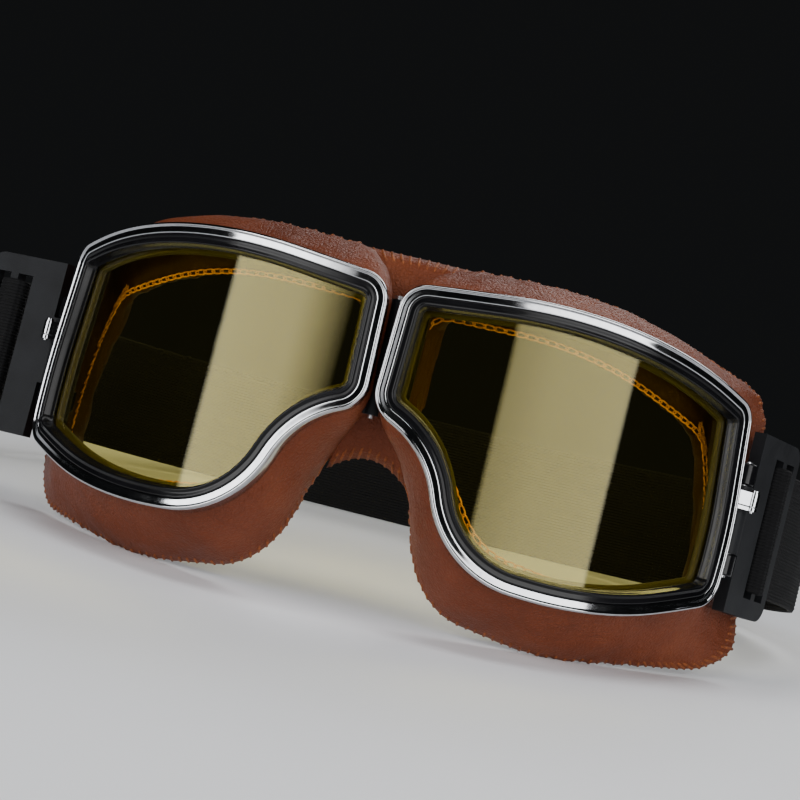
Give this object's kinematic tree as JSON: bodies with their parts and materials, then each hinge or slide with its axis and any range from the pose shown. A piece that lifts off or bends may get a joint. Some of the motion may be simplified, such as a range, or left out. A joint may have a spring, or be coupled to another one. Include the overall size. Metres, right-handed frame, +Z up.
{
  "type": "motorcycle goggles",
  "caption": "Retro riding goggles: curved amber lenses in bright metal rims, a padded leather mask hinged at the nose, swinging strap brackets and an elastic head strap.",
  "frame": {"origin": "middle of the whole object's footprint, on the surface it rests on", "axes": "+X across the face towards the wearer's left eye, which is right in the front view; -Y the way the lenses look; +Z up. The goggles lean back as they do when set down on the cheeks of the mask and the back of the strap."},
  "size_m": [0.2235, 0.1872, 0.0813],
  "materials": {
    "chrome": "polished",
    "black_gloss": "gloss",
    "amber_lens": "clear, tinted",
    "seal_rubber": "matte",
    "leather": "semi-matte, fine grain",
    "cushion": "leather over foam",
    "bracket_plastic": "satin",
    "pin_steel": "plain",
    "elastic": "woven elastic"
  },
  "bodies": {
    "left_half": {"rim_left": "chrome", "rim_clasp_left": "chrome", "rim_screw_left": "chrome", "frame_left": "black_gloss", "lens_left": "amber_lens", "lens_seal_left": "seal_rubber", "mask_left": "leather", "pad_left": "cushion", "hinge_leaf_left": "bracket_plastic", "bracket_pin_left": "pin_steel", "hinge_pin": "pin_steel", "mask_bridge": "leather", "pad_bridge": "cushion", "strap_back": "elastic", "strap_side": "elastic", "strap_front_left": "elastic"},
    "right_half": {"rim_right": "chrome", "rim_clasp_right": "chrome", "rim_screw_right": "chrome", "frame_right": "black_gloss", "lens_right": "amber_lens", "lens_seal_right": "seal_rubber", "mask_right": "leather", "pad_right": "cushion", "hinge_leaf_right": "bracket_plastic", "bracket_pin_right": "pin_steel", "strap_front_right": "elastic"},
    "left_bracket": {"bracket_left": "bracket_plastic", "strap_end_left": "elastic"},
    "right_bracket": {"bracket_right": "bracket_plastic", "strap_end_right": "elastic"},
    "adjuster": {"strap_slider": "black_gloss"}
  },
  "joints": [
    {"name": "fold", "type": "hinge", "parent": "left_half", "child": "right_half", "pos_m": [0.01296, -0.07963, 0.05855], "axis": [0, 0.1707, 0.9853], "range_deg": [0, 36], "deforming": ["mask_bridge", "pad_bridge", "strap_side"]},
    {"name": "bracket_left_swing", "type": "hinge", "parent": "left_half", "child": "left_bracket", "pos_m": [-0.06864, -0.04517, 0.03837], "axis": [0, 0.1707, 0.9853], "range_deg": [-49, 9], "deforming": ["strap_front_left"]},
    {"name": "bracket_right_swing", "type": "hinge", "parent": "right_half", "child": "right_bracket", "pos_m": [0.09456, -0.04517, 0.03837], "axis": [0, 0.1707, 0.9853], "range_deg": [-55, 3], "deforming": ["strap_front_right"]},
    {"name": "strap_adjust", "type": "slide", "parent": "left_half", "child": "adjuster", "axis": [0.3714, 0.9148, -0.1585], "range_m": [-0.014, 0.014]}
  ]
}
